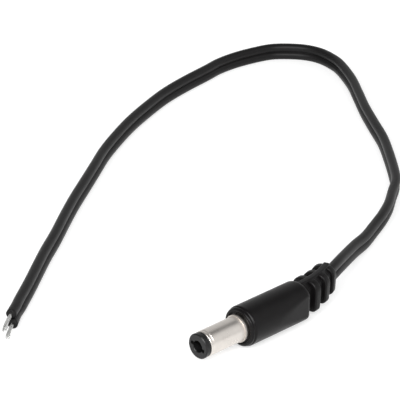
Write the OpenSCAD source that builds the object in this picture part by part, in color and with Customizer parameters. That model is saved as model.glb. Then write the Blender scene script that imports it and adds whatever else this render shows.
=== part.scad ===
// Moulded 5.5 mm direct current barrel plug on a short two-core lead with bare, tinned ends.
// The origin is on the barrel's axis, in the front face of the black moulding. +X runs back
// towards the lead, +Y to the left, +Z up. All sizes are in millimetres.

/* [Barrel] */
// Outside diameter of the metal barrel
barrel_d = 5.5; // [5.3:0.1:6]
// Wall of the metal barrel
barrel_wall = 0.4; // [0.3:0.05:0.5]
// Length of barrel that stands out of the moulding
barrel_l = 10; // [8.5:0.5:11]
// Length of the lip rolled in at the barrel's front edge
lip_l = 0.5; // [0.3:0.1:0.8]
// How far that lip reaches inwards past the bore
lip_in = 0.25; // [0.15:0.05:0.35]
// Radius of the barrel's rolled front edge
lip_round = 0.2; // [0.1:0.05:0.3]
// Distance from the front edge back to the fine turned groove
groove_back = 0.75; // [0.5:0.05:1.2]
// Width of that groove
groove_w = 0.16; // [0.1:0.02:0.3]
// Depth of that groove
groove_deep = 0.06; // [0.02:0.01:0.12]
// Step from the barrel out to its thicker root
root_step = 0.2; // [0.18:0.01:0.25]
// Length of that root that shows as a band in front of the moulding
band_l = 0.8; // [0.4:0.1:1.2]
// Length of barrel inside the moulding, in front of its anchor flange
anchor_l = 3; // [2:0.25:4]
// Height of the anchor flange over the root
anchor_step = 0.35; // [0.2:0.05:0.5]
// Thickness of the anchor flange
anchor_t = 1; // [0.6:0.1:1.4]

/* [Tip] */
// Outside diameter of the insulating collar at the tip
collar_d = 5.4; // [5.1:0.1:5.5]
// Length of that collar
collar_l = 1.4; // [0.8:0.1:1.6]
// Chamfer on the collar's front rim
collar_chamfer = 0.2; // [0.1:0.05:0.3]
// Width of the waist turned behind the collar's front ring
waist_w = 0.3; // [0.2:0.05:0.4]
// Depth of that waist
waist_deep = 0.18; // [0.05:0.01:0.25]
// Diameter of the hole for the socket's centre pin
pin_bore = 2.5; // [2.1:0.1:2.6]
// Chamfer at the mouth of that hole
bore_chamfer = 0.1; // [0.05:0.05:0.2]
// Width of the slot that crosses the hole
slot_w = 0.8; // [0.5:0.05:0.85]
// Length of that slot across the tip
slot_span = 3.9; // [3.6:0.1:3.9]
// Turn of the slot from level, in degrees
slot_turn = 15; // [0:5:90]
// Depth of the insulating liner behind the moulding's front face
liner_in = 2; // [1:0.25:2]

/* [Centre contact] */
// Thickness of each spring prong
prong_t = 0.3; // [0.2:0.05:0.3]
// Play at each side of a prong in its slot
prong_play = 0.05; // [0.05:0.01:0.1]
// Distance of the prongs' ends behind the tip's front face
prong_back = 1.6; // [1:0.1:3]
// Gap from the pin's hole to the spread prongs
prong_gap = 0.05; // [0.02:0.01:0.1]
// Outward flare of the prongs' ends
prong_flare = 0.2; // [0.1:0.05:0.2]
// Length of that flare
flare_l = 0.9; // [0.5:0.1:1.5]
// Diameter of the contact's hub
hub_d = 3.3; // [3.3:0.1:3.6]
// Length of the contact's hub
hub_l = 2.5; // [1.5:0.25:3]
// Diameter of the riveted stem behind the hub
stem_d = 1.8; // [1.4:0.1:2]
// Diameter of the stem's riveted head
rivet_d = 3.2; // [2.6:0.1:3.6]
// Thickness of that head
rivet_t = 0.4; // [0.3:0.05:0.5]
// Width of the centre contact's soldering tag
centre_tag_w = 1.6; // [1.2:0.1:2]
// Length of the centre contact's soldering tag
centre_tag_l = 3.6; // [3.2:0.2:4.2]

/* [Rear insulator and barrel tag] */
// Height of the rear insulator's flange over the barrel's bore
stop_step = 0.15; // [0.1:0.01:0.18]
// Thickness of that flange
stop_t = 0.6; // [0.4:0.1:0.8]
// Width of the barrel tag's ring
ring_w = 0.7; // [0.6:0.05:0.8]
// Sheet thickness of both soldering tags
tag_t = 0.4; // [0.3:0.05:0.45]
// Width of the barrel tag's tail
tail_w = 1.6; // [1.2:0.1:1.8]
// Length of the tail's upward step
tail_step_l = 1.3; // [1:0.1:1.6]

/* [Lead] */
// Diameter of each insulated core
core_d = 2.2; // [2:0.1:2.4]
// Distance between the two cores' centres
core_pitch = 1.95; // [1.8:0.05:2]
// Width of the web between the cores
web_w = 1; // [0.8:0.1:1.2]
// Diameter of each bundle of strands
strand_d = 0.9; // [0.6:0.05:1]
// Length of bare strands at the plug's tags
strip_l = 2.9; // [2.4:0.1:3.2]
// Distance between the tags' ends and the lead's insulation
lead_gap = 0.8; // [0.5:0.1:1]
// Diameter of each solder joint
solder_d = 1.5; // [1.3:0.05:1.6]
// Length of each solder joint
solder_l = 2; // [1.6:0.1:2.2]
// Thickness of solder between the strands and their tag
solder_film = 0.1; // [0.05:0.01:0.2]
// Play around the lead inside the moulding
lead_play = 0.1; // [0.08:0.01:0.15]
// Height of the lead's centre above the barrel's axis where it leaves the plug
lead_lift = 0.2; // [0.1:0.05:0.3]

/* [Inner moulding] */
// Cover of the inner moulding over the barrel tag
inner_cover = 0.15; // [0.1:0.05:0.25]
// Wall of its neck round the lead
neck_wall = 0.77; // [0.74:0.01:0.84]
// Length of lead held by the inner moulding
grip_l = 3.2; // [2.4:0.2:3.6]

/* [Outer moulding] */
// Diameter of the round body
body_d = 8.7; // [8.5:0.1:10]
// Length of the body
body_l = 17.6; // [16.6:0.5:23.6]
// Diameter of the step at the body's front
step_d = 8.3; // [7.8:0.1:8.4]
// Length of that step
step_l = 0.8; // [0.6:0.1:1.6]
// Radius on the front rims of the step and the body
front_round = 0.5; // [0.1:0.05:0.5]
// Distance from the front face to the start of the two side flats
flat_start = 9.1; // [8.1:0.5:12.1]
// Width across the two flats at the body's rear
rear_w = 6.8; // [6.4:0.1:7.4]
// Radius round the body's rear rim
rear_round = 1.2; // [0.6:0.1:1.3]

/* [Strain relief] */
// Number of plates in the strain relief
plate_n = 3; // [2:1:4]
// Thickness of each plate
plate_t = 1.75; // [1.4:0.05:2]
// Gap in front of each plate
gap_w = 1.85; // [1.4:0.05:2.2]
// Width of the first plate
first_w = 6; // [5.6:0.1:6.2]
// Width of the last plate
last_w = 5; // [4.6:0.1:5.2]
// Height of the first plate
first_h = 7.6; // [7.2:0.1:7.8]
// Height of the last plate
last_h = 6.9; // [6.6:0.1:7.1]
// Height of the first plate's middle over the lead's centre
first_rise = 0.1; // [0:0.05:0.2]
// Height of the last plate's middle over the lead's centre
last_rise = 0.45; // [0.3:0.05:0.5]
// How much narrower each plate's foot is than its top, at each side
plate_draft = 0.2; // [0:0.05:0.25]
// Radius of the plates' corners
plate_corner = 1.8; // [1.4:0.1:1.9]
// Radius round the rims of the plates
plate_round = 0.4; // [0.1:0.05:0.4]
// Width of the spine between the gaps
spine_w = 3.2; // [3:0.1:3.3]
// Height of the spine
spine_h = 5.9; // [5.6:0.1:5.9]
// Width of the rib along the spine's top
rib_w = 1.8; // [1.4:0.1:2.2]
// Height of that rib over the spine
rib_h = 0.9; // [0.5:0.1:0.9]
// Radius at the root of each gap
root_round = 0.5; // [0.2:0.05:0.5]
// Sideways bend of the strain relief, in degrees
relief_bend = 26; // [12:1:36]

/* [Hidden] */
$fn = 64;

// Stations along the barrel's axis, from the tip back to the end of the body.
barrel_front = -barrel_l;
tip_front = barrel_front - collar_l;
hub_front = liner_in - hub_l;
anchor_back = anchor_l + anchor_t;
ring_back = anchor_back + tag_t;
stop_back = ring_back + stop_t;
rivet_back = stop_back + rivet_t;
tags_end = rivet_back + centre_tag_l;
lead_start = tags_end + lead_gap;
strands_start = lead_start - strip_l;
solder_mid = strands_start + solder_l / 2;
inner_back = lead_start + grip_l;

// Radii of the pieces that fit in each other.
barrel_r = barrel_d / 2;
bore_r = barrel_r - barrel_wall;
lip_r = bore_r - lip_in;
root_r = barrel_r + root_step;
anchor_r = root_r + anchor_step;
stop_r = bore_r + stop_step;
ring_r = bore_r + ring_w;
inner_r = ring_r + inner_cover;
neck_r = (core_pitch + core_d) / 2 + lead_lift / 2 + neck_wall;

// Heights of the two cores and of the faces that the strands are soldered to.
upper_z = lead_lift + core_pitch / 2;
lower_z = lead_lift - core_pitch / 2;
centre_tag_top = upper_z - strand_d / 2 - solder_film;
tail_top = lower_z - strand_d / 2 - solder_film;
tail_low = ring_r - tag_t;

// The strain relief bends about one upright axis.
relief_pitch = plate_t + gap_w;
relief_l = plate_n * relief_pitch;
bend_r = relief_l / (relief_bend * PI / 180);
mm_angle = relief_bend / relief_l;
exit_point = [body_l + bend_r * sin(relief_bend), bend_r * (1 - cos(relief_bend))];

// The lead lies on the table on its edge.
table_z = -body_d / 2;
lead_h = core_pitch + core_d;
lying_z = table_z + lead_h / 2;
low_core_z = table_z + core_d / 2;
overlap = 0.5;

// Where the lead lies, measured from the point where it leaves the strain relief:
// distance back, distance left, and how far it has come down to the table, from 0 to 1.
lead_route = [
    [5.5, 2.5, 0.1], [11, 5, 0.35], [16.5, 7.5, 0.65], [22, 9.5, 0.9], [27.5, 12, 1],
    [33, 14.5, 1], [38, 17.5, 1], [43, 21, 1], [48, 24.5, 1], [52, 28.5, 1],
    [58, 35.5, 1], [63.5, 42.5, 1], [68.5, 50, 1], [73.5, 57.5, 1], [79, 65, 1],
    [84, 72, 1], [88.5, 80, 1], [90, 84.5, 1], [90.5, 89, 1], [89.5, 93, 1],
    [87, 96.5, 1], [83.5, 99.5, 1], [79, 101, 1], [73, 102, 1], [67, 102, 1],
    [61.5, 101, 1], [52.5, 99.5, 1], [44, 97.5, 1], [35.5, 94.5, 1], [27, 91, 1],
    [19, 87, 1], [11, 82.5, 1], [3.5, 77.5, 1], [-4, 72.5, 1], [-11.5, 67.5, 1],
    [-18.5, 62.5, 1], [-26, 57, 1], [-33.5, 51.8, 1], [-44, 44, 1], [-51, 39, 1],
];
// The two cores past the split, measured in the same way: distance back, distance left,
// and height over the low core's place on the table.
long_core_route = [
    [-51, 39, 0], [-53.1, 37.5, 0], [-55, 35.7, 0], [-56.8, 34, 0],
    [-58.9, 32.3, -0.3], [-60.7, 31, -0.6],
];
short_core_route = [
    [-51, 39, core_pitch], [-53.1, 37.5, core_pitch], [-54.9, 36.5, 2.15], [-56.6, 35.6, 1.95],
    [-58.9, 34, 1.5], [-61, 32, 1],
];
// Number of points of each core's route that the insulation covers.
leg_points = 4;

function unit(v) = v / norm(v);
function along(path, i) = unit(path[min(i + 1, len(path) - 1)] - path[max(i - 1, 0)]);
function left_of(t) = unit([-t.y, t.x, 0]);

// One ring of a swept tube: the section's points set square to the path at its point i.
function ring(path, i, section) =
    let (t = along(path, i), side = left_of(t), up = cross(t, side))
    [for (p = section) path[i] + p.x * side + p.y * up];

// A point of the lead's centre inside the strain relief, at share s of the bend.
function bend_point(s) =
    let (a = s * relief_bend)
    [body_l + bend_r * sin(a), bend_r * (1 - cos(a)), lead_lift];

// The lead's whole path, from its joints in the plug to the split.
bend_steps = 4;
lead_path = concat(
    [[lead_start, 0, lead_lift]],
    [for (k = [0 : bend_steps]) bend_point(k / bend_steps)],
    [for (p = lead_route)
        [exit_point.x + p.x, exit_point.y + p.y, lead_lift + (lying_z - lead_lift) * p.z]]
);
function core_path(route) =
    [for (p = route) [exit_point.x + p.x, exit_point.y + p.y, low_core_z + p.z]];
long_path = core_path(long_core_route);
short_path = core_path(short_core_route);

// Half of the lead's waisted outline, from its top to its foot.
lead_half = [
    [0, lead_h / 2],
    [core_d * 0.36, core_pitch / 2 + core_d * 0.34],
    [core_d / 2, core_pitch / 2],
    [web_w / 2, 0],
    [core_d / 2, -core_pitch / 2],
    [core_d * 0.36, -core_pitch / 2 - core_d * 0.34],
];
lead_section = concat(lead_half, [for (p = lead_half) -p]);
function round_section(d, n) = [for (k = [0 : n - 1]) d / 2 * [sin(360 * k / n), cos(360 * k / n)]];
function flat_section(d, n) =
    [for (k = [0 : n - 1])
        d / 2 / cos(180 / n) * [sin(360 * (k + 0.5) / n), cos(360 * (k + 0.5) / n)]];

// A closed tube with the given section along rings first to last of a path.
module tube(path, section, first, last) {
    n = len(section);
    rings = last - first;
    polyhedron(
        points = [for (i = [first : last]) each ring(path, i, section)],
        faces = concat(
            [[for (k = [0 : n - 1]) n - 1 - k]],
            [for (i = [0 : rings - 1], k = [0 : n - 1])
                [i * n + k, i * n + (k + 1) % n, (i + 1) * n + (k + 1) % n, (i + 1) * n + k]],
            [[for (k = [0 : n - 1]) rings * n + k]]
        )
    );
}

// A cylinder along the barrel's axis between two stations.
module shaft(d, from, to) {
    translate([from, 0, 0]) rotate([0, 90, 0]) cylinder(d = d, h = to - from);
}

// A profile of radius against station, turned about the barrel's axis.
module turned() {
    rotate([0, 90, 0]) rotate_extrude() children();
}

// ---- barrel and tip ----

module barrel_profile() {
    groove = barrel_front + groove_back;
    polygon([
        [lip_r, barrel_front],
        [barrel_r - lip_round, barrel_front],
        [barrel_r, barrel_front + lip_round],
        [barrel_r, groove - groove_w / 2],
        [barrel_r - groove_deep, groove],
        [barrel_r, groove + groove_w / 2],
        [barrel_r, -band_l],
        [root_r, -band_l],
        [root_r, anchor_l],
        [anchor_r, anchor_l],
        [anchor_r, anchor_back],
        [bore_r, anchor_back],
        [bore_r, barrel_front + lip_l],
        [lip_r, barrel_front + lip_l],
    ]);
    translate([barrel_r - lip_round, barrel_front + lip_round]) circle(lip_round);
}

module barrel_sleeve() {
    color([0.8, 0.78, 0.75]) turned() barrel_profile();
}

module tip_profile() {
    collar_r = collar_d / 2;
    polygon([
        [0, tip_front],
        [collar_r - collar_chamfer, tip_front],
        [collar_r, tip_front + collar_chamfer],
        [collar_r, barrel_front - 2 * waist_w],
        [collar_r - waist_deep, barrel_front - 1.5 * waist_w],
        [collar_r - waist_deep, barrel_front - waist_w / 2],
        [collar_r - waist_deep / 2, barrel_front],
        [lip_r, barrel_front],
        [lip_r, barrel_front + lip_l],
        [bore_r, barrel_front + lip_l],
        [bore_r, liner_in],
        [0, liner_in],
    ]);
}

// The slot across the pin's hole, which the prongs spread into.
module prong_slot() {
    rotate([slot_turn, 0, 0])
        translate([tip_front - overlap, -slot_span / 2, -slot_w / 2])
            cube([hub_front - tip_front + overlap, slot_span, slot_w]);
}

module tip_insulator() {
    color([0.13, 0.13, 0.14])
        difference() {
            turned() tip_profile();
            shaft(pin_bore, tip_front - overlap, hub_front);
            translate([tip_front, 0, 0]) rotate([0, 90, 0])
                cylinder(d1 = pin_bore + 2 * bore_chamfer, d2 = pin_bore, h = bore_chamfer);
            prong_slot();
            shaft(hub_d, hub_front, liner_in + overlap);
        }
}

// ---- centre contact ----

// One prong, seen from its side: straight along the hole, and flared at its end.
module prong() {
    end = tip_front + prong_back;
    inner = pin_bore / 2 + prong_gap;
    linear_extrude(slot_w - 2 * prong_play, center = true)
        polygon([
            [end, inner + prong_flare],
            [end + flare_l, inner],
            [hub_front + overlap, inner],
            [hub_front + overlap, inner + prong_t],
            [end + flare_l, inner + prong_t],
            [end, inner + prong_flare + prong_t],
        ]);
}

// A flat tag with a rounded end.
module tag_outline(from, to, w) {
    translate([from, -w / 2]) square([to - w / 2 - from, w]);
    translate([to - w / 2, 0]) circle(d = w);
}

module centre_contact() {
    color([0.78, 0.66, 0.4]) {
        for (turn = [0, 180])
            rotate([slot_turn + turn, 0, 0]) prong();
        shaft(hub_d, hub_front, liner_in);
        shaft(stem_d, liner_in, stop_back);
        shaft(rivet_d, stop_back, rivet_back);
        translate([0, 0, centre_tag_top - tag_t])
            linear_extrude(tag_t) tag_outline(stop_back, tags_end, centre_tag_w);
    }
}

module rear_insulator() {
    color([0.85, 0.83, 0.76])
        difference() {
            union() {
                shaft(2 * bore_r, liner_in, ring_back);
                shaft(2 * stop_r, ring_back, stop_back);
            }
            shaft(stem_d, liner_in - overlap, stop_back + overlap);
        }
}

// ---- barrel tag ----

// The tag's tail from the side: out past the insulator's flange, then stepped up to the strands.
module tail_side() {
    bend = stop_back + tag_t / 2;
    step_end = bend + tail_step_l;
    polygon([
        [anchor_back, -tail_low - tag_t],
        [bend, -tail_low - tag_t],
        [step_end, tail_top - tag_t],
        [tags_end, tail_top - tag_t],
        [tags_end, tail_top],
        [step_end - tag_t / 2, tail_top],
        [bend - tag_t / 2, -tail_low],
        [anchor_back, -tail_low],
    ]);
}

module tag_tail() {
    rotate([90, 0, 0]) linear_extrude(tail_w, center = true) tail_side();
}

module sleeve_tag() {
    color([0.8, 0.72, 0.5]) {
        difference() {
            shaft(2 * ring_r, anchor_back, ring_back);
            shaft(2 * bore_r, anchor_back - overlap, ring_back + overlap);
        }
        tag_tail();
    }
}

// ---- soldered joints ----

module strands(z) {
    translate([0, 0, z]) shaft(strand_d, strands_start, lead_start);
}

// A solder joint's outside: a bead along the strands with sloping ends.
module solder_bead(z) {
    slope = solder_d / 5;
    neck = solder_d / 2 - slope;
    translate([solder_mid, 0, z]) rotate([0, 90, 0])
        rotate_extrude()
            polygon([
                [0, -solder_l / 2],
                [neck, -solder_l / 2],
                [solder_d / 2, slope - solder_l / 2],
                [solder_d / 2, solder_l / 2 - slope],
                [neck, solder_l / 2],
                [0, solder_l / 2],
            ]);
}

module centre_solder() {
    color([0.75, 0.75, 0.76])
        difference() {
            solder_bead(upper_z);
            strands(upper_z);
            centre_contact();
        }
}

module sleeve_solder() {
    color([0.75, 0.75, 0.76])
        difference() {
            solder_bead(lower_z);
            strands(lower_z);
            sleeve_tag();
        }
}

module centre_strands() {
    color([0.82, 0.8, 0.76]) strands(upper_z);
}

module sleeve_strands() {
    color([0.82, 0.8, 0.76]) strands(lower_z);
}

// ---- mouldings ----

// The lead's outline with its play, for the channel through the mouldings.
module channel_outline() {
    for (side = [-1, 1])
        translate([0, side * core_pitch / 2]) circle(d = core_d + 2 * lead_play);
}

// The channel that the lead fills: straight through the body, then round the bend.
module lead_channel() {
    translate([lead_start, 0, lead_lift]) rotate([90, 0, 90])
        linear_extrude(body_l - lead_start) channel_outline();
    translate([body_l, bend_r, lead_lift]) rotate([0, 0, -90])
        rotate_extrude(angle = relief_bend + overlap * mm_angle)
            translate([bend_r, 0]) channel_outline();
}

module inner_mould() {
    color([0.75, 0.75, 0.72])
        difference() {
            union() {
                shaft(2 * inner_r, stop_back, lead_start + grip_l / 3);
                shaft(2 * neck_r, stop_back, inner_back);
            }
            centre_contact();
            sleeve_tag();
            centre_solder();
            sleeve_solder();
            strands(upper_z);
            strands(lower_z);
            lead_channel();
        }
}

// The body's turned profile: a stepped front with rounded rims and a rounded rear.
module body_profile() {
    rounded_slug(step_d / 2, 0, body_l / 2, front_round, front_round);
    rounded_slug(body_d / 2, step_l, body_l, front_round, rear_round);
}

// Half of a turned slug between two stations, with rounded front and rear rims.
module rounded_slug(r, from, to, front, rear) {
    translate([0, from + front]) square([r, to - from - front - rear]);
    translate([0, from]) square([r - front, to - from]);
    translate([0, from + front]) square([r - rear, to - from - front]);
    translate([r - front, from + front]) circle(front);
    translate([r - rear, to - rear]) circle(rear);
}

// The body's outline from above: it narrows between two flats, with rounded rear corners.
module flanks_outline() {
    half = body_d / 2;
    slope = atan((half - rear_w / 2) / (body_l - flat_start));
    corner = [body_l - rear_round,
              rear_w / 2 + rear_round * tan(slope) - rear_round / cos(slope)];
    touch = corner + rear_round * [sin(slope), cos(slope)];
    side = [[-overlap, half + overlap], [flat_start, half + overlap], [flat_start, half], touch,
            [body_l, corner.y]];
    polygon(concat(side, [for (k = [len(side) - 1 : -1 : 0]) [side[k].x, -side[k].y]]));
    for (y = [-corner.y, corner.y])
        translate([corner.x, y]) circle(rear_round);
}

module body() {
    intersection() {
        turned() body_profile();
        translate([0, 0, -body_d]) linear_extrude(2 * body_d) flanks_outline();
    }
}

// Puts its children in the strain relief's own frame at a length s along the bend.
module on_bend(s) {
    translate([body_l, bend_r, lead_lift]) rotate([0, 0, s * mm_angle]) translate([0, -bend_r, 0])
        children();
}

// One plate: a block with rounded corners, narrower at its foot, with every rim rounded.
module plate(w, h) {
    steps = 3;
    hull()
        for (k = [0 : steps], side = [-1, 1], level = [-1, 1]) {
            turn = 90 * k / steps;
            inset = plate_round * (1 - cos(turn));
            thick = plate_t - 2 * plate_round * (1 - sin(turn));
            y = w / 2 - plate_corner - (level < 0 ? plate_draft : 0);
            z = h / 2 - plate_corner;
            translate([0, side * y, level * z]) rotate([0, 90, 0])
                cylinder(r = plate_corner - inset, h = thick, center = true, $fn = 32);
        }
}

// The spine's section before the gaps are cut from its sides.
module spine_outline() {
    w = spine_w + 2 * root_round;
    r = spine_w / 3;
    square([w - 2 * r, spine_h], center = true);
    square([w, spine_h - 2 * r], center = true);
    translate([-rib_w / 2, 0]) square([rib_w, spine_h / 2 + rib_h]);
    for (x = [-1, 1], y = [-1, 1])
        translate([x * (w / 2 - r), y * (spine_h / 2 - r)]) circle(r);
}

// The spine runs from inside the body round the whole bend.
module spine() {
    translate([body_l - rear_round, 0, lead_lift]) rotate([90, 0, 90])
        linear_extrude(rear_round) spine_outline();
    translate([body_l, bend_r, lead_lift]) rotate([0, 0, -90])
        rotate_extrude(angle = relief_bend - plate_t / 2 * mm_angle)
            translate([bend_r, 0]) spine_outline();
}

// A gap's outline from above, cut into one side of the spine, with a rounded root.
module gap_outline() {
    translate([-gap_w / 2, spine_w / 2 + root_round]) square([gap_w, body_d]);
    translate([root_round - gap_w / 2, spine_w / 2]) square([gap_w - 2 * root_round, body_d]);
    for (side = [-1, 1])
        translate([side * (gap_w / 2 - root_round), spine_w / 2 + root_round]) circle(root_round);
}

module strain_relief() {
    difference() {
        spine();
        for (i = [0 : plate_n - 1], turn = [0, 180])
            on_bend(i * relief_pitch + gap_w / 2)
                rotate([turn, 0, 0])
                    linear_extrude(2 * first_h, center = true) gap_outline();
    }
    for (i = [0 : plate_n - 1]) {
        share = i / (plate_n - 1);
        on_bend(i * relief_pitch + gap_w + plate_t / 2)
            translate([0, 0, first_rise + (last_rise - first_rise) * share]) plate(first_w + (last_w - first_w) * share, first_h + (last_h - first_h) * share);
    }
}

module overmould() {
    color([0.14, 0.13, 0.13])
        difference() {
            union() {
                body();
                strain_relief();
            }
            shaft(2 * root_r, -overlap, anchor_l);
            shaft(2 * anchor_r, anchor_l, anchor_back);
            shaft(2 * ring_r, anchor_back, ring_back);
            tag_tail();
            shaft(2 * stop_r, ring_back, stop_back);
            shaft(2 * inner_r, stop_back, lead_start + grip_l / 3);
            shaft(2 * neck_r, stop_back, inner_back);
            lead_channel();
        }
}

// ---- lead ----

module cable() {
    color([0.2, 0.2, 0.21]) tube(lead_path, lead_section, 0, len(lead_path) - 1);
}

module long_leg() {
    color([0.2, 0.2, 0.21]) tube(long_path, flat_section(core_pitch, 8), 0, leg_points - 1);
}

module short_leg() {
    color([0.2, 0.2, 0.21]) tube(short_path, flat_section(core_pitch, 8), 0, leg_points - 1);
}

module long_tinned_end() {
    color([0.85, 0.85, 0.86])
        tube(long_path, round_section(strand_d, 8), leg_points - 1, len(long_path) - 1);
}

module short_tinned_end() {
    color([0.85, 0.85, 0.86])
        tube(short_path, round_section(strand_d, 8), leg_points - 1, len(short_path) - 1);
}

barrel_sleeve();
tip_insulator();
centre_contact();
rear_insulator();
sleeve_tag();
centre_solder();
sleeve_solder();
centre_strands();
sleeve_strands();
inner_mould();
overmould();
cable();
long_leg();
short_leg();
long_tinned_end();
short_tinned_end();
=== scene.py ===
"""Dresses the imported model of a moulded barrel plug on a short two-core lead and sets its stage.

Lengths typed in this file are in millimetres and are turned into metres by MM. The frame is the
model's own: +X along the barrel towards the lead, +Y left, +Z up, origin in the moulding's front.
"""

import math
import random

import bmesh
import bpy
from mathutils import Matrix, Vector


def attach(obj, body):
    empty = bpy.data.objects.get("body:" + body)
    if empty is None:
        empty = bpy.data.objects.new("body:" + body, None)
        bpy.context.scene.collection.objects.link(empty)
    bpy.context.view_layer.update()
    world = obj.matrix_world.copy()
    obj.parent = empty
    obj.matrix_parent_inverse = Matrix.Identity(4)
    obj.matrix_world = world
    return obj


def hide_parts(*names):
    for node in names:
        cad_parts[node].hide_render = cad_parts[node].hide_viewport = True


bl_info = {
    "name": "Barrel Plug and Lead",
    "version": (1, 0, 0),
    "blender": (4, 5, 0),
    "location": "View3D > Sidebar > Barrel Plug",
    "description": "Builds the lead and the looks of a moulded barrel plug, and its stage",
    "category": "Object",
}

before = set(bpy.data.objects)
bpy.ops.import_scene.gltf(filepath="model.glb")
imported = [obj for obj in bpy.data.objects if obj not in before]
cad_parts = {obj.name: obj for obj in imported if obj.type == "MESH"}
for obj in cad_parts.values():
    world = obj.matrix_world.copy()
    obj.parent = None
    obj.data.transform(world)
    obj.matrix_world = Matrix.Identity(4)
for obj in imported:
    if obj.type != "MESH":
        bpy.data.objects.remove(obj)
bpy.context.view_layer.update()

MM = 0.001
TABLE = -4.35 * MM

# The lead's way through the plug: its joints, the straight run in the body, then the bend.
LEAD_START = 9.8
BODY_END = 17.6
RELIEF_L = 10.8
RELIEF_BEND = math.radians(26)
BEND_R = RELIEF_L / RELIEF_BEND
LEAD_LIFT = 0.2
EXIT = (
    BODY_END + BEND_R * math.sin(RELIEF_BEND),
    BEND_R * (1 - math.cos(RELIEF_BEND)),
    LEAD_LIFT,
)

# Where the lead lies, from its exit: back, left, and how far it has come down to the table.
LEAD_ROUTE = [
    (5.65, 2.35, 0.1), (11.15, 4.85, 0.35), (16.65, 7.35, 0.65), (22.05, 9.45, 0.9),
    (27.5, 12, 1), (33, 14.5, 1), (38.15, 17.35, 1), (43.15, 20.85, 1), (48.15, 24.35, 1),
    (52.1, 28.4, 1), (58.05, 35.45, 1), (63.55, 42.45, 1), (68.5, 50, 1), (73.5, 57.5, 1),
    (79, 65, 1), (84, 72, 1), (88.5, 80, 1), (90, 84.5, 1), (90.5, 89, 1), (89.5, 93, 1),
    (87, 96.5, 1), (83.5, 99.5, 1), (79, 101, 1), (73, 102, 1), (67, 102, 1), (61.5, 101, 1),
    (52.5, 99.5, 1), (44, 97.5, 1), (35.5, 94.5, 1), (27, 91, 1), (19, 87, 1), (11, 82.5, 1),
    (3.5, 77.5, 1), (-4, 72.5, 1), (-11.5, 67.5, 1), (-18.5, 62.5, 1), (-26, 57, 1),
    (-33.5, 51.8, 1), (-44, 44, 1), (-51, 39, 1),
]
# The two cores past the split: back, left, and height over the low core's place.
LONG_CORE = [
    (-51, 39, 0), (-53.1, 37.55, 0), (-55.0, 36.0, 0), (-56.7, 34.6, 0),
    (-58.9, 33.0, -0.3), (-60.7, 31.4, -0.6),
]
SHORT_CORE = [
    (-51, 39, 1.95), (-53.1, 37.55, 1.95), (-54.9, 36.35, 1.95), (-56.5, 35.25, 1.9),
    (-58.8, 33.8, 1.5), (-60.9, 32, 1),
]
INSULATED_POINTS = 4
CORE_STEP = 0.3


# ---- settings ----


def length_setting(name, description, default, least):
    """A length that the panel can change, given in millimetres."""
    return bpy.props.FloatProperty(
        name=name, description=description, default=default * MM, min=least * MM,
        unit="LENGTH", subtype="DISTANCE")


def angle_setting(name, description, degrees):
    """An angle that the panel can change, given in degrees."""
    return bpy.props.FloatProperty(
        name=name, description=description, default=math.radians(degrees), subtype="ANGLE")


def colour_setting(name, description, default):
    """A colour that the panel can change."""
    return bpy.props.FloatVectorProperty(
        name=name, description=description, default=default, size=3, min=0, max=1,
        subtype="COLOR")


def strength_setting(name, description, default):
    """The strength of a light that the panel can change."""
    return bpy.props.FloatProperty(name=name, description=description, default=default, min=0)


class LeadSettings(bpy.types.PropertyGroup):
    """Sizes and colour of the two-core lead."""

    core_d: length_setting(
        "Core diameter", "Diameter of one core over its insulation", 2.2, 1)
    pitch: length_setting(
        "Core spacing", "Distance between the two cores' centres", 1.95, 1)
    groove_soft: bpy.props.FloatProperty(
        name="Groove rounding", description="How softly the two cores run into the web",
        default=0.06, min=0.01, max=0.3, subtype="FACTOR")
    ring_step: length_setting(
        "Ring spacing", "Distance between the rings of the lead's skin", 0.8, 0.3)
    lean_start: angle_setting(
        "Lean at the plug", "How far the lead tips outwards near the plug", 3)
    lean_end: angle_setting(
        "Lean at the split", "How far the lead tips outwards at its split", 8)
    leg_lean: angle_setting(
        "Roll of the ends", "How far each split core has rolled at its cut end", 14)
    colour: colour_setting(
        "Insulation colour", "Colour of the lead's insulation", (0.0055, 0.0052, 0.0054))


class StrandSettings(bpy.types.PropertyGroup):
    """Sizes and colour of the bare, tinned ends."""

    strand_d: length_setting(
        "Strand diameter", "Diameter of one tinned wire", 0.155, 0.05)
    lay: length_setting(
        "Lay", "Length along the end in which the wires turn once", 9, 1)
    splay: bpy.props.FloatProperty(
        name="Splay", description="How far the wires open at their tips",
        default=0.45, min=0, max=2, subtype="FACTOR")
    seed: bpy.props.IntProperty(
        name="Seed", description="Chooses the wires' uneven tips", default=7, min=0)
    colour: colour_setting(
        "Tin colour", "Colour of the tinned wires", (0.80, 0.80, 0.79))


class PlugSettings(bpy.types.PropertyGroup):
    """Colours of the plug's own pieces."""

    moulding: colour_setting(
        "Moulding colour", "Colour of the black outer moulding", (0.0036, 0.0032, 0.0034))
    nickel: colour_setting(
        "Barrel colour", "Colour of the plated barrel", (0.655, 0.617, 0.577))
    tip: colour_setting(
        "Tip colour", "Colour of the insulating tip", (0.006, 0.0058, 0.0062))
    spring: colour_setting(
        "Contact colour", "Colour of the centre contact", (0.74, 0.62, 0.38))
    cream: colour_setting(
        "Rear insulator colour", "Colour of the rear insulator", (0.82, 0.79, 0.70))
    brass: colour_setting(
        "Tag colour", "Colour of the thinly tinned tag", (0.76, 0.72, 0.60))
    solder: colour_setting(
        "Solder colour", "Colour of the soldered joints", (0.70, 0.70, 0.71))
    inner: colour_setting(
        "Inner moulding colour", "Colour of the moulding round the joints", (0.70, 0.70, 0.66))


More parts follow.
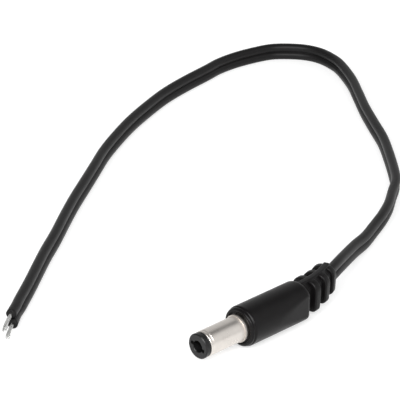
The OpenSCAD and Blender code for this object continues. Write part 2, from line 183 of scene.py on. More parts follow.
class StageSettings(bpy.types.PropertyGroup):
    """The camera, the floor and the light."""

    aim: bpy.props.FloatVectorProperty(
        name="Aim", description="Point on the table that the camera looks at",
        default=(40.9 * MM, 54.4 * MM, -4.25 * MM), size=3, unit="LENGTH", subtype="TRANSLATION")
    distance: length_setting(
        "Camera distance", "From the camera to the aim point", 560, 50)
    heading: angle_setting(
        "Camera heading", "Way the camera looks, turned from the barrel's axis", 46.5)
    rise: angle_setting(
        "Camera rise", "How far the camera looks down", 25.95)
    lens: bpy.props.FloatProperty(
        name="Lens", description="Focal length in millimetres on a 36 mm sensor",
        default=221.8, min=10)
    floor_colour: colour_setting(
        "Floor colour", "Colour of the table", (0.5, 0.5, 0.5))
    floor_glow: strength_setting(
        "Floor glow", "Light that the table gives by itself", 0.58)
    room: strength_setting(
        "Room light", "Strength of the dim light from all round", 0.25)
    far_panel: strength_setting(
        "Far panel", "Strength of the soft light from the far wall", 0.5)
    right_panel: strength_setting(
        "Right panel", "Strength of the soft light from the right", 0.75)
    left_lamp: strength_setting(
        "Left lamp", "Power of the wide lamp at the left", 8.0)


# ---- shader maths ----


class Value:
    """One output of a shader node, for plain arithmetic."""

    def __init__(self, graph, socket):
        self.graph = graph
        self.socket = socket

    def __add__(self, other):
        return self.graph.maths("ADD", self, other)

    __radd__ = __add__

    def __sub__(self, other):
        return self.graph.maths("SUBTRACT", self, other)

    def __mul__(self, other):
        return self.graph.maths("MULTIPLY", self, other)

    def clamp(self):
        """This number kept between 0 and 1."""
        return self.graph.node("ShaderNodeClamp", {}, {"Value": self})

    def times(self, vector):
        """This vector with each part multiplied by one of three numbers."""
        return self.graph.node(
            "ShaderNodeVectorMath", {"operation": "MULTIPLY"}, {0: self, 1: vector})

    def parts(self):
        """This vector's three parts."""
        node = self.graph.place("ShaderNodeSeparateXYZ", {}, {0: self})
        return [Value(self.graph, out) for out in node.outputs]


class Graph:
    """One tree of shader nodes, built from expressions."""

    def __init__(self, tree):
        self.tree = tree
        tree.nodes.clear()

    def place(self, kind, settings, inputs):
        """A new node: its settings are set first, then its values and links."""
        node = self.tree.nodes.new(kind)
        for key, value in settings.items():
            setattr(node, key, value)
        for key, value in inputs.items():
            if isinstance(value, Value):
                self.tree.links.new(value.socket, node.inputs[key])
            else:
                node.inputs[key].default_value = value
        return node

    def node(self, kind, settings, inputs, output=0):
        """One output of a new node."""
        return Value(self, self.place(kind, settings, inputs).outputs[output])

    def maths(self, operation, a, b):
        """One step of arithmetic."""
        return self.node("ShaderNodeMath", {"operation": operation}, {0: a, 1: b})

    def mix(self, factor, a, b):
        """A colour between a and b."""
        return self.node(
            "ShaderNodeMix", {"data_type": "RGBA"}, {0: factor, 6: a, 7: b}, output=2)

    def noise(self, vector, scale, detail=2.0, roughness=0.5):
        """Cloudy noise with about scale lumps to each unit of the vector."""
        return self.node(
            "ShaderNodeTexNoise", {},
            {"Vector": vector, "Scale": scale, "Detail": detail, "Roughness": roughness})

    def mottle(self, vector, scale):
        """Noise spread from 0 to 1 about its middle."""
        return ((self.noise(vector, scale) - 0.5) * 2.5 + 0.5).clamp()

    def place_mm(self):
        """The point being shaded, in millimetres in the model's frame."""
        here = self.node("ShaderNodeTexCoord", {}, {}, output=3)
        return here.times((1000, 1000, 1000))

    def bump(self, height, distance):
        """The surface's direction, tilted by a height from 0 to 1 that stands for a distance."""
        return self.node("ShaderNodeBump", {}, {"Height": height, "Distance": distance})


def rgba(colour, gain=1.0):
    """A colour with full alpha, lighter or darker by a gain."""
    return (*[min(1.0, part * gain) for part in colour], 1.0)


def new_material(name):
    """A new material and the empty graph of its shader."""
    material = bpy.data.materials.new(name)
    material.use_nodes = True
    return material, Graph(material.node_tree)


def finish_material(graph, **inputs):
    """Closes a material with one main shader; names use _ for spaces."""
    named = {key.replace("_", " "): value for key, value in inputs.items()}
    shader = graph.node("ShaderNodeBsdfPrincipled", {}, named)
    graph.place("ShaderNodeOutputMaterial", {}, {"Surface": shader})


def soft_plastic(name, colour, ior=1.245):
    """Satin, softly grained plastic of the outer moulding, smoother round its front."""
    material, g = new_material(name)
    here = g.place_mm()
    # 1 up to 1.5 mm behind the front face, and 0 from 2 mm on.
    front = (here.parts()[0] * -2 + 4).clamp()
    cloud = g.mottle(here, 0.35)
    grain = g.noise(here, 9.0, 3.0, 0.6)
    fine = g.noise(here, 30.0, 2.0)
    finish_material(
        g,
        Base_Color=g.mix(cloud, rgba(colour, 0.85), rgba(colour, 1.2)),
        Roughness=(0.33 + cloud * 0.05 + grain * 0.05 + front * -0.08),
        IOR=ior,
        Normal=g.bump(grain * 0.7 + fine * 0.3, 0.012 * MM),
    )
    return material


def extruded_plastic(name, colour, ior=1.27):
    """Drawn insulation with faint lines along it; the UV map is millimetres round and along."""
    material, g = new_material(name)
    skin = g.node("ShaderNodeUVMap", {"uv_map": "skin"}, {})
    lines = g.noise(skin.times((2.2, 0.02, 1)), 1.0, 3.0, 0.65)
    patches = g.mottle(skin.times((0.25, 0.06, 1)), 1.0)
    grain = g.noise(skin, 7.0, 2.0)
    finish_material(
        g,
        Base_Color=g.mix(patches, rgba(colour, 0.85), rgba(colour, 1.2)),
        Roughness=(0.36 + patches * 0.08 + lines * 0.08),
        IOR=ior,
        Normal=g.bump(lines * 0.7 + grain * 0.3, 0.015 * MM),
    )
    return material


def plated_metal(name, colour, shine=0.24, marks=0.003, rubbed=0.0):
    """Plated, turned metal with fine marks round the barrel's axis; its root can be duller."""
    material, g = new_material(name)
    here = g.place_mm()
    # 1 from 1.5 to 0.5 mm before the moulding's front face, and 0 a quarter millimetre beyond.
    x = here.parts()[0]
    root = (x * 4 + 7).clamp() * (x * -4 - 1).clamp()
    turning = g.noise(here.times((1, 0.02, 0.02)), 14.0, 4.0, 0.7)
    cloud = g.mottle(here, 0.5)
    finish_material(
        g,
        Base_Color=g.mix(cloud, rgba(colour, 0.96), rgba(colour, 1.03)),
        Metallic=1.0,
        Roughness=(shine + cloud * 0.05 + turning * 0.06 + root * rubbed),
        Normal=g.bump(turning, marks * MM),
    )
    return material


def hard_plastic(name, colour, shine=0.32, ior=1.5):
    """Moulded plastic with a slight cloudiness."""
    material, g = new_material(name)
    here = g.place_mm()
    cloud = g.mottle(here, 0.6)
    grain = g.noise(here, 16.0, 3.0, 0.6)
    finish_material(
        g,
        Base_Color=g.mix(cloud, rgba(colour, 0.9), rgba(colour, 1.1)),
        Roughness=(shine + cloud * 0.06 + grain * 0.06),
        IOR=ior,
        Normal=g.bump(grain, 0.006 * MM),
    )
    return material


def solder_metal(name, colour, shine=0.3):
    """Tinned or soldered metal, slightly uneven."""
    material, g = new_material(name)
    here = g.place_mm()
    cloud = g.mottle(here, 1.2)
    ripple = g.noise(here, 4.0, 3.0, 0.6)
    finish_material(
        g,
        Base_Color=g.mix(cloud, rgba(colour, 0.85), rgba(colour, 1.1)),
        Metallic=1.0,
        Roughness=(shine + cloud * 0.12),
        Normal=g.bump(ripple, 0.02 * MM),
    )
    return material


def paint(piece, material):
    """Gives a piece one material, in its slots if it has any."""
    if piece.material_slots:
        for slot in piece.material_slots:
            slot.material = material
    else:
        piece.data.materials.append(material)


# ---- mesh helpers ----


def piece_of(name, work):
    """Turns worked faces into a piece in the scene, all facing outwards."""
    bmesh.ops.recalc_face_normals(work, faces=work.faces)
    mesh = bpy.data.meshes.new(name)
    work.to_mesh(mesh)
    work.free()
    piece = bpy.data.objects.new(name, mesh)
    bpy.context.scene.collection.objects.link(piece)
    return piece


def skin(name, rings, material):
    """A closed tube through rings of as many points each, with a UV map in millimetres."""
    work = bmesh.new()
    uv = work.loops.layers.uv.new("skin")
    rows = [[work.verts.new(point) for point in ring] for ring in rings]
    count = len(rings[0])
    around = [0.0]
    for k in range(count):
        around.append(around[-1] + (rings[0][(k + 1) % count] - rings[0][k]).length / MM)
    along = [0.0]
    for a, b in zip(rings, rings[1:]):
        along.append(along[-1] + (sum(b, Vector()) - sum(a, Vector())).length / count / MM)
    for i in range(len(rows) - 1):
        for k in range(count):
            j = (k + 1) % count
            face = work.faces.new((rows[i][k], rows[i][j], rows[i + 1][j], rows[i + 1][k]))
            face.smooth = True
            spots = [(k, i), (k + 1, i), (k + 1, i + 1), (k, i + 1)]
            for loop, (p, q) in zip(face.loops, spots):
                loop[uv].uv = (around[p], along[q])
    for row in (rows[0][::-1], rows[-1]):
        cap = work.faces.new(row)
        cap.smooth = False
        for edge in cap.edges:
            edge.smooth = False
    piece = piece_of(name, work)
    paint(piece, material)
    return piece


def through(points, step):
    """A smooth line through points, as points about one step apart."""
    line = []
    ends = [2 * points[0] - points[1], *points, 2 * points[-1] - points[-2]]
    for a, b, c, d in zip(ends, ends[1:], ends[2:], ends[3:]):
        count = max(2, round((c - b).length / step))
        for k in range(count):
            t = k / count
            line.append(0.5 * (
                2 * b + (c - a) * t + (2 * a - 5 * b + 4 * c - d) * t ** 2
                + (3 * b - a - 3 * c + d) * t ** 3))
    line.append(points[-1].copy())
    return line


def run_lengths(line):
    """How far along the line each of its points lies."""
    runs = [0.0]
    for a, b in zip(line, line[1:]):
        runs.append(runs[-1] + (b - a).length)
    return runs


def cross_axes(line, i, lean):
    """The sideways and upward directions square to a line at its point i, tipped outwards."""
    ahead = (line[min(i + 1, len(line) - 1)] - line[max(i - 1, 0)]).normalized()
    side = Vector((-ahead.y, ahead.x, 0)).normalized()
    up = ahead.cross(side)
    turn = Matrix.Rotation(lean, 3, ahead)
    return turn @ side, turn @ up


def direction(turn, rise):
    """The way that lies at a turn from the barrel's axis and a rise above the table."""
    return Vector((
        math.cos(rise) * math.cos(turn), math.cos(rise) * math.sin(turn), math.sin(rise)))


def bend_point(turn):
    """The lead's centre where the strain relief has bent by a turn, in millimetres."""
    return Vector((
        BODY_END + BEND_R * math.sin(turn), BEND_R * (1 - math.cos(turn)), LEAD_LIFT))


def from_exit(back, left, height):
    """A point in metres from its place beside the lead's exit and its height."""
    return Vector((EXIT[0] + back, EXIT[1] + left, height)) * MM


# ---- the lead ----


def lead_section(lead, count=16):
    """The waisted outline of the two joined cores, as points sideways and up."""
    radius, offset = lead.core_d / 2, lead.pitch / 2
    # The points lie closer together near the groove.
    quarter = [math.pi / 2 * (k / count) ** 1.35 for k in range(count)]
    turns = (quarter + [math.pi - q for q in [math.pi / 2, *quarter[:0:-1]]]
             + [math.pi + q for q in quarter]
             + [2 * math.pi - q for q in [math.pi / 2, *quarter[:0:-1]]])
    outline = []
    for turn in turns:
        rise = math.hypot(math.sin(turn), lead.groove_soft * math.cos(turn))
        reach = offset * rise + math.sqrt(radius ** 2 - (offset * math.cos(turn)) ** 2)
        outline.append((reach * math.cos(turn), reach * math.sin(turn)))
    return outline


def lead_line(lead):
    """The lead's centre from its joints to the split, and the point where it leaves the plug."""
    step = lead.ring_step
    straight = round((BODY_END - LEAD_START) * MM / step)
    line = [Vector((LEAD_START, 0, LEAD_LIFT)) * MM
            + Vector((step * k, 0, 0)) for k in range(straight)]
    turns = round(RELIEF_L * MM / step)
    line += [bend_point(RELIEF_BEND * k / turns) * MM for k in range(turns)]
    low = TABLE / MM + (lead.pitch + lead.core_d) / 2 / MM
    points = [Vector(EXIT) * MM]
    for back, left, fall in LEAD_ROUTE:
        points.append(from_exit(back, left, LEAD_LIFT + (low - LEAD_LIFT) * fall))
    return line + through(points, step), len(line)


def lead_lean(lead, share):
    """How far the lead has tipped outwards at a share of its free length, most of it early."""
    if share <= 0:
        return 0.0
    return lead.lean_start * min(1.0, share * 8) + (lead.lean_end - lead.lean_start) * share


def core_line(route, lead):
    """One core's centre past the split."""
    low = TABLE / MM + lead.core_d / 2 / MM
    points = [from_exit(back, left, low + height) for back, left, height in route]
    return through(points, CORE_STEP * MM)


def insulated_length(route, lead):
    """Length of one core's insulation past the split."""
    covered = core_line(route[:INSULATED_POINTS], lead)
    return run_lengths(covered)[-1]


class PLUG_OT_lead(bpy.types.Operator):
    """Builds the lead's insulation, from the joints in the plug to its split"""

    bl_idname = "plug.lead"
    bl_label = "Lead"

    def execute(self, context):
        lead = context.scene.plug_lead
        line, exit_index = lead_line(lead)
        outline = lead_section(lead)
        free = len(line) - 1 - exit_index
        rings = []
        for i in range(len(line)):
            lean = lead_lean(lead, (i - exit_index) / free)
            side, up = cross_axes(line, i, lean)
            drop = lead.pitch / 2 * (1 - math.cos(lean))
            centre = line[i] - Vector((0, 0, drop))
            rings.append([centre + side * x + up * y for x, y in outline])
        material = extruded_plastic("lead_insulation", lead.colour)
        piece = skin("lead_skin", rings, material)
        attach(piece, "root")
        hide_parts("cable")
        return {"FINISHED"}


class PLUG_OT_lead_ends(bpy.types.Operator):
    bl_idname = "plug.lead_ends"
    bl_label = "Lead ends"

    def execute(self, context):
        lead = context.scene.plug_lead
        wires = context.scene.plug_strands
        insulation = bpy.data.objects["lead_skin"].active_material
        tin = solder_metal("tinned_strands", wires.colour, 0.16)
        pieces = []
        for name, route, web in (("long", LONG_CORE, 1), ("short", SHORT_CORE, -1)):
            line = core_line(route, lead)
            runs = run_lengths(line)
            covered = insulated_length(route, lead)
            leg = self.leg(name, line, runs, covered, web, lead, insulation)
            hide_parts(f"{name}_leg")
            ends = self.strands(name, line, runs, covered, lead, wires, tin)
            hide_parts(f"{name}_tinned_end")
            pieces += [leg, ends]
        for piece in pieces:
            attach(piece, "root")
        lead_line(lead)[0]
        return {"FINISHED"}

    def lean(self, lead, share):
        """How far a core has rolled at a share of its insulated length."""
        return lead.lean_end + (lead.leg_lean - lead.lean_end) * share ** 1.5

    def shift(self, lead, run, web):
        """The core's place starts beside the lead's tipped centre and settles on its own line."""
        settled = 3 * MM
        keep = max(0.0, 1 - run / settled)
        tip = lead.pitch / 2 * math.sin(lead.lean_end)
        return web * tip * keep

    def leg(self, name, line, runs, covered, web, lead, material):
        """One core's insulation: a round skin with a torn flat where the web was."""
        radius = lead.core_d / 2
        count = 48
        # Rings that round off the cut end: how far in from the rim, and how far past it.
        cut = ((0.05, 0.03), (0.16, 0.06), (0.5, 0.0))
        rings = []
        last = 0
        for i, run in enumerate(runs):
            if run > covered:
                break
            last = i
            share = run / covered
            side, up = cross_axes(line, i, self.lean(lead, share))
            centre = line[i] + cross_axes(line, i, 0)[0] * self.shift(lead, run, web)
            # The flat where the web tore off wanders a little along the core.
            torn = lead.pitch / 2 * (0.97 + 0.03 * math.sin(run / MM * 5.3) * min(1, share * 4))
            ring = []
            for k in range(count):
                turn = 2 * math.pi * k / count
                x, y = radius * math.cos(turn), radius * math.sin(turn) * web
                y = web * min(y * web, torn)
                ring.append(centre + side * x + up * y)
            rings.append(ring)
        ahead = (line[last + 1] - line[last]).normalized()
        middle = sum(rings[-1], Vector()) / count
        rim = rings[-1]
        for inset, push in cut:
            rings.append([
                point.lerp(middle, inset * MM / radius) + ahead * push * MM for point in rim])
        return skin(f"{name}_core_skin", rings, material)

    def strands(self, name, line, runs, covered, lead, wires, material):
        """One bare end: nineteen tinned wires laid round each other, opening at their tips."""
        chance = random.Random(wires.seed + len(name))
        pitch, thick, sides = wires.strand_d, wires.strand_d / 2, 8
        places = [(0.0, 0.0)]
        places += [(pitch, math.pi / 3 * k) for k in range(6)]
        places += [(2 * pitch, math.pi / 6 * k) for k in range(12)]
        total = runs[-1]
        hidden = 1 * MM
        meshes = []
        for radius, angle in places:
            reach = total - chance.uniform(0, 0.9) * MM
            opening = 1 + wires.splay * chance.uniform(0.4, 1.4)
            wander = chance.uniform(-0.5, 0.5)
            rings = []
            for i, run in enumerate(runs):
                if run < covered - hidden or run > reach:
                    continue
                share = max(0.0, (run - covered) / (total - covered))
                side, up = cross_axes(line, i, self.lean(lead, 1))
                turn = angle + 2 * math.pi * run / wires.lay + wander * share ** 2
                spread = radius * (1 + (opening - 1) * share ** 2.2)
                centre = line[i] + side * spread * math.cos(turn) + up * spread * math.sin(turn)
                rings.append([
                    centre + side * thick * math.cos(a) + up * thick * math.sin(a)
                    for a in [2 * math.pi * k / sides for k in range(sides)]])
            meshes.append(skin(f"{name}_wire", rings, material))
        bpy.ops.object.select_all(action="DESELECT")
        for piece in meshes:
            piece.select_set(True)
        bpy.context.view_layer.objects.active = meshes[0]
        bpy.ops.object.join()
        meshes[0].name = f"{name}_bare_wires"
        return meshes[0]


# ---- the outer moulding ----


def sleeve_of_loops(work, loops):
    """A closed surface through loops of as many points each; the last joins the first."""
    rows = [[work.verts.new(point) for point in loop] for loop in loops]
    count = len(rows[0])
    for a, b in zip(rows, rows[1:] + rows[:1]):
        for k in range(count):
            j = (k + 1) % count
            work.faces.new((a[k], a[j], b[j], b[k])).smooth = True


def arc(middle, radius, start, end, count):
    """Points of an arc between two angles in degrees, as distances along and outwards."""
    points = []
    for k in range(count + 1):
        turn = math.radians(start + (end - start) * k / count)
        points.append((middle[0] + radius * math.cos(turn), middle[1] + radius * math.sin(turn)))
    return points


def soft_least(a, b, blend):
    """The smaller of two lengths, rounded over where they are nearly the same."""
    near = max(0.0, 1 - abs(a - b) / blend)
    return min(a, b) - near * near * blend / 4


class Moulding:
    """Shapes of the outer moulding, in millimetres."""

    # The body: its outside, the groove behind its front ring, and its two flats.
    radius = 4.35
    front_ring = 4.15
    front_round = 0.5
    groove = (0.58, 0.66)
    groove_depth = 0.05
    shoulder = 1.15
    flat_start = 9.1
    flat_blend = 0.25
    rear_half = 3.4
    rear_round = 1.2

    # The bore, and the recess round the barrel's root: its depth, its edge and that edge's lip.
    bore = 2.955
    recess = 0.45
    recess_edge = 3.36
    lip = 0.12

    # Stations and radii of the seats inside, from the rear to the front.
    seats = [
        (BODY_END, 2.3), (13, 2.3), (13, 2.945), (10.87, 2.945), (10.87, 3.2), (5, 3.2),
        (5, 2.5), (4.4, 2.5), (4.4, 3.05), (4, 3.05), (4, 3.3), (3, 3.3), (3, bore),
        (recess, bore),
    ]
    # Where the rear face begins, under the spine.
    tail = 2.6

    # The plates of the strain relief: how far the first and the last reach left, right, up and
    # down from the lead, how thick they are, and how they are rounded.
    plates = 3
    first_plate = (3.65, 2.8, 3.55, 3.5)
    last_plate = (3.05, 2.3, 3.45, 3.0)
    plate_t = 1.75
    gap = 1.85
    plate_round = 0.4
    top_corner = 2.2
    foot_corner = 1.3
    foot_draw = 0.15

    # The lead's channel: half of its width and of its height.
    channel_size = (1.2, 2.2)

    # The spine: how far it starts inside the body, and how far it stops short of the last plate.
    spine_root = 2.5
    spine_short = 0.2

    def flank(self, x):
        """Half of the width across the two flats at station x."""
        slope = math.atan((self.radius - self.rear_half) / (BODY_END - self.flat_start))
        middle = (BODY_END - self.rear_round,
                  self.rear_half + self.rear_round * (math.tan(slope) - 1 / math.cos(slope)))
        if x > middle[0] + self.rear_round * math.sin(slope):
            over = min(x - middle[0], self.rear_round)
            return middle[1] + math.sqrt(self.rear_round ** 2 - over ** 2)
        return self.radius - (x - self.flat_start) * math.tan(slope)

    def outside(self):
        """The outer surface from the recess round the barrel back to the rear face."""
        ring, soft, rear = self.front_ring, self.front_round, self.rear_round
        lip, edge, shoulder = self.lip, self.recess_edge, self.shoulder
        points = [(self.recess, self.bore + lip), (self.recess - lip / 2, edge - 0.08)]
        points += arc((lip, edge + lip), lip, 270, 180, 3)
        points += arc((soft, ring - soft), soft, 180, 95, 10)
        points += [(x, ring - self.groove_depth) for x in self.groove]
        points += arc((shoulder, self.radius - soft), soft, 145, 90, 8)
        steps = 40
        run = BODY_END - rear - shoulder
        points += [(shoulder + run * k / steps, self.radius) for k in range(1, steps)]
        points += arc((BODY_END - rear, self.radius - rear), rear, 90, 0, 16)
        points.append((BODY_END, self.tail))
        return points

    def body(self, count=256):
        """The loops of the body, along its bore to the front and back over its outside."""
        loops = []
        for stations, outer in ((self.seats, False), (self.outside(), True)):
            for x, radius in stations:
                loop = []
                for k in range(count):
                    turn = 2 * math.pi * k / count
                    y, z = radius * math.sin(turn), radius * math.cos(turn)
                    if outer and x > self.flat_start - 1:
                        half = soft_least(abs(y), self.flank(x), self.flat_blend)
                        y = math.copysign(half, y)
                    loop.append(Vector((x, y, z)) * MM)
                loops.append(loop)
        return loops

    def on_bend(self, run, ahead, y, z):
        """A point of the strain relief: a run along its bend, then ahead, left and up."""
        turn = run / BEND_R
        forward = Vector((math.cos(turn), math.sin(turn), 0))
        left = Vector((-math.sin(turn), math.cos(turn), 0))
        return (bend_point(turn) + forward * ahead + left * y + Vector((0, 0, z))) * MM

    def channel(self, outline):
        """The lead's channel, with a point for each point of an outline round it."""
        wide, high = self.channel_size
        turns = [math.atan2(z / high, y / wide) for y, z in outline]
        return [(wide * math.cos(turn), high * math.sin(turn)) for turn in turns]

    def plate_outline(self, left, right, top, foot, inset, count=14):
        """A rounded block with tighter corners at its foot, seen along the lead."""
        high, low, draw = self.top_corner, self.foot_corner, self.foot_draw
        outline = arc((left - high, top - high), high - inset, 0, 90, count)
        outline += arc((high - right, top - high), high - inset, 90, 180, count)
        outline += arc((low - right + draw, low - foot), low - inset, 180, 270, count)
        outline += arc((left - low - draw, low - foot), low - inset, 270, 360, count)
        return outline

    def plate(self, k):
        """The loops of one plate, across its outside and back along the channel."""
        share = k / (self.plates - 1)
        size = [a + (b - a) * share for a, b in zip(self.first_plate, self.last_plate)]
        half, soft, steps = self.plate_t / 2, self.plate_round, 5
        run = k * (self.plate_t + self.gap) + self.gap + half
        stations = [(-half + soft * (1 - math.sin(t)), soft * (1 - math.cos(t)))
                    for t in [math.pi / 2 * (1 - j / steps) for j in range(steps + 1)]]
        stations += [(-ahead, inset) for ahead, inset in stations[::-1]]
        loops = []
        for ahead, inset in stations:
            outline = self.plate_outline(*size, inset)
            loops.append([self.on_bend(run, ahead, y, z) for y, z in outline])
        for ahead in (half, -half):
            hole = self.channel(outline)
            loops.append([self.on_bend(run, ahead, y, z) for y, z in hole])
        return loops

    def spine(self):
        """The loops of the spine: a core round the lead with a narrow ridge on top."""
        # Half of its outline, from the middle of its foot up to the middle of the ridge's top.
        half = arc((0.7, -2.05), 0.9, 270, 360, 8)
        half += [(1.6, -1), (1.6, 0), (1.6, 1)]
        half += arc((1.0, 1.9), 0.6, 0, 60, 5)
        half += [(1.0, 2.62), (0.82, 2.85), (0.74, 3.1), (0.7, 3.4)]
        half += arc((0.37, 3.47), 0.33, 0, 90, 6)
        outline = half + [(-y, z) for y, z in half[::-1]]
        hole = self.channel(outline)
        steps, root = 24, self.spine_root
        length = RELIEF_L + root - self.spine_short
        runs = [length * k / steps - root for k in range(steps + 1)]
        loops = [[self.on_bend(max(0, run), min(0, run), y, z) for y, z in outline]
                 for run in runs]
        loops += [[self.on_bend(max(0, run), min(0, run), y, z) for y, z in hole]
                  for run in runs[::-1]]
        return loops


# ---- the plug ----


class PLUG_OT_mouldings(bpy.types.Operator):
    """Finishes the outer and inner mouldings"""

    bl_idname = "plug.mouldings"
    bl_label = "Mouldings"

    def execute(self, context):
        plug = context.scene.plug_parts
        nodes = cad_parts
        self.outer(soft_plastic("black_moulding", plug.moulding))
        paint(nodes["inner_mould"], hard_plastic("inner_moulding", plug.inner, 0.45))
        return {"FINISHED"}

    def outer(self, material):
        """The outer moulding: its body, the spine of its strain relief and the plates."""
        shape = Moulding()
        work = bmesh.new()
        sleeve_of_loops(work, shape.body())
        sleeve_of_loops(work, shape.spine())
        for k in range(shape.plates):
            sleeve_of_loops(work, shape.plate(k))
        piece = piece_of("moulding_skin", work)
        piece.data.set_sharp_from_angle(angle=math.radians(35))
        paint(piece, material)
        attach(piece, "root")
        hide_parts("overmould")


class PLUG_OT_barrel(bpy.types.Operator):
    """Finishes the plated barrel and its black tip"""

    bl_idname = "plug.barrel"
    bl_label = "Barrel and tip"

    def execute(self, context):
        plug = context.scene.plug_parts
        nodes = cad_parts
        paint(nodes["barrel_sleeve"], plated_metal("nickel_plate", plug.nickel, rubbed=0.22))
        paint(nodes["tip_insulator"], hard_plastic("black_insulator", plug.tip, 0.3, 1.36))
        return {"FINISHED"}


class PLUG_OT_contacts(bpy.types.Operator):
    """Finishes the centre contact, the tag, the joints and the rear insulator"""

    bl_idname = "plug.contacts"
    bl_label = "Contacts and joints"

    def execute(self, context):
        plug = context.scene.plug_parts
        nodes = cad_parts
        paint(nodes["centre_contact"], plated_metal("contact_spring", plug.spring, 0.25))
        paint(nodes["sleeve_tag"], plated_metal("tinned_brass", plug.brass, 0.3))
        paint(nodes["rear_insulator"], hard_plastic("cream_insulator", plug.cream, 0.4))
        solder = solder_metal("solder", plug.solder)
        tin = bpy.data.objects["long_bare_wires"].active_material
        for name in ("centre_solder", "sleeve_solder"):
            paint(nodes[name], solder)
        for name in ("centre_strands", "sleeve_strands"):
            paint(nodes[name], tin)
        return {"FINISHED"}


# ---- the stage ----


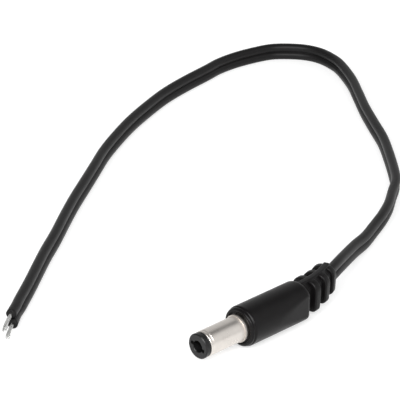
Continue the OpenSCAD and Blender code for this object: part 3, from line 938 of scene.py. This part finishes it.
class PLUG_OT_stage(bpy.types.Operator):
    """Sets up the camera, the white table and the soft light"""

    bl_idname = "plug.stage"
    bl_label = "Stage"

    def execute(self, context):
        stage = context.scene.plug_stage
        self.camera(context, stage)
        self.floor(stage)
        self.surround(context, stage)
        self.lamp(context, stage)
        context.scene.view_settings.view_transform = "Standard"
        return {"FINISHED"}

    def camera(self, context, stage):
        """The camera, which looks down at the aim point from its distance."""
        look = direction(stage.heading, -stage.rise)
        data = bpy.data.cameras.new("camera")
        data.lens = stage.lens
        data.sensor_width = 36
        data.clip_start = 10 * MM
        data.clip_end = 20
        camera = bpy.data.objects.new("camera", data)
        camera.location = Vector(stage.aim) - look * stage.distance
        camera.rotation_euler = look.to_track_quat("-Z", "Y").to_euler()
        context.scene.collection.objects.link(camera)
        context.scene.camera = camera

    def floor(self, stage):
        """A broad round table top whose rim curves up all round, far from the plug."""
        flat, rim, high = 1200 * MM, 300 * MM, 270 * MM
        count, flat_steps, rim_steps = 96, 4, 12
        rings = [(flat * k / flat_steps, 0.0) for k in range(1, flat_steps + 1)]
        for k in range(1, rim_steps + 1):
            turn = math.pi / 2 * k / rim_steps
            rings.append((flat + rim * math.sin(turn), high * (1 - math.cos(turn))))
        work = bmesh.new()
        middle = work.verts.new((0, 0, 0))
        rows = [
            [work.verts.new((
                far * math.cos(2 * math.pi * k / count),
                far * math.sin(2 * math.pi * k / count), height)) for k in range(count)]
            for far, height in rings]
        for k in range(count):
            work.faces.new((middle, rows[0][k], rows[0][(k + 1) % count])).smooth = True
            for a, b in zip(rows, rows[1:]):
                j = (k + 1) % count
                work.faces.new((a[k], b[k], b[j], a[j])).smooth = True
        table = piece_of("table_top", work)
        table.location = (0, 0, TABLE)
        material, g = new_material("table_white")
        cloud = g.mottle(g.place_mm(), 0.01)
        finish_material(
            g,
            Base_Color=g.mix(cloud, rgba(stage.floor_colour, 0.99), rgba(stage.floor_colour)),
            Roughness=0.6,
            Emission_Color=(1, 1, 1, 1),
            Emission_Strength=stage.floor_glow,
        )
        paint(table, material)

    def surround(self, context, stage):
        """A dim room with broad soft panels of light at its far wall and at its right."""
        world = bpy.data.worlds.new("room")
        context.scene.world = world
        world.use_nodes = True
        g = Graph(world.node_tree)
        x, y, z = g.node("ShaderNodeTexCoord", {}, {}, output=0).parts()
        light = stage.room
        # Each panel's turn and rise, half of its size and of its soft edge, all in degrees.
        for turn, rise, size, edge, gain in (
            (50, 18, 34, 16, stage.far_panel),
            (-46, 14, 38, 18, stage.right_panel),
        ):
            way = direction(math.radians(turn), math.radians(rise))
            toward = x * way.x + y * way.y + z * way.z
            panel = g.node(
                "ShaderNodeMapRange", {"interpolation_type": "SMOOTHSTEP"},
                {"Value": toward,
                 "From Min": math.cos(math.radians(size + edge)),
                 "From Max": math.cos(math.radians(size - edge))})
            light = panel * gain + light
        glow = g.node("ShaderNodeBackground", {}, {"Color": (1, 1, 1, 1), "Strength": light})
        g.place("ShaderNodeOutputWorld", {}, {"Surface": glow})

    def lamp(self, context, stage):
        """One wide soft lamp at the left, near the camera."""
        turn, rise, far = math.radians(216), 0.68, 0.7
        way = direction(turn, rise)
        data = bpy.data.lights.new("left_lamp", "AREA")
        data.shape = "RECTANGLE"
        data.size, data.size_y = 0.8, 0.3
        data.energy = stage.left_lamp
        lamp = bpy.data.objects.new("left_lamp", data)
        lamp.location = Vector((20 * MM, 30 * MM, 0)) + way * far
        lamp.rotation_euler = (-way).to_track_quat("-Z", "Y").to_euler()
        context.scene.collection.objects.link(lamp)


# ---- the add-on ----


class PLUG_PT_panel(bpy.types.Panel):
    """Lists the pieces to build"""

    bl_idname = "PLUG_PT_panel"
    bl_label = "Barrel Plug"
    bl_space_type = "VIEW_3D"
    bl_region_type = "UI"
    bl_category = "Barrel Plug"

    def draw(self, context):
        """A button for each step, then the settings."""
        for operator in OPERATORS:
            self.layout.operator(operator.bl_idname)
        for group in GROUPS:
            settings = getattr(context.scene, group)
            for name in settings.bl_rna.properties.keys():
                if name not in ("rna_type", "name"):
                    self.layout.prop(settings, name)


GROUPS = {
    "plug_stage": StageSettings,
    "plug_lead": LeadSettings,
    "plug_strands": StrandSettings,
    "plug_parts": PlugSettings,
}
OPERATORS = (
    PLUG_OT_stage,
    PLUG_OT_lead,
    PLUG_OT_lead_ends,
    PLUG_OT_mouldings,
    PLUG_OT_barrel,
    PLUG_OT_contacts,
)


def register():
    """Adds the settings, the steps and the panel."""
    for kind in (*GROUPS.values(), *OPERATORS, PLUG_PT_panel):
        bpy.utils.register_class(kind)
    for name, kind in GROUPS.items():
        setattr(bpy.types.Scene, name, bpy.props.PointerProperty(type=kind))


def unregister():
    """Takes away what register added."""
    for name in GROUPS:
        delattr(bpy.types.Scene, name)
    for kind in reversed((*GROUPS.values(), *OPERATORS, PLUG_PT_panel)):
        bpy.utils.unregister_class(kind)


def main():
    """Builds everything."""
    register()
    bpy.ops.plug.stage()
    bpy.ops.plug.lead()
    bpy.ops.plug.lead_ends()
    bpy.ops.plug.mouldings()
    bpy.ops.plug.barrel()
    bpy.ops.plug.contacts()


if __name__ == "__main__":
    main()
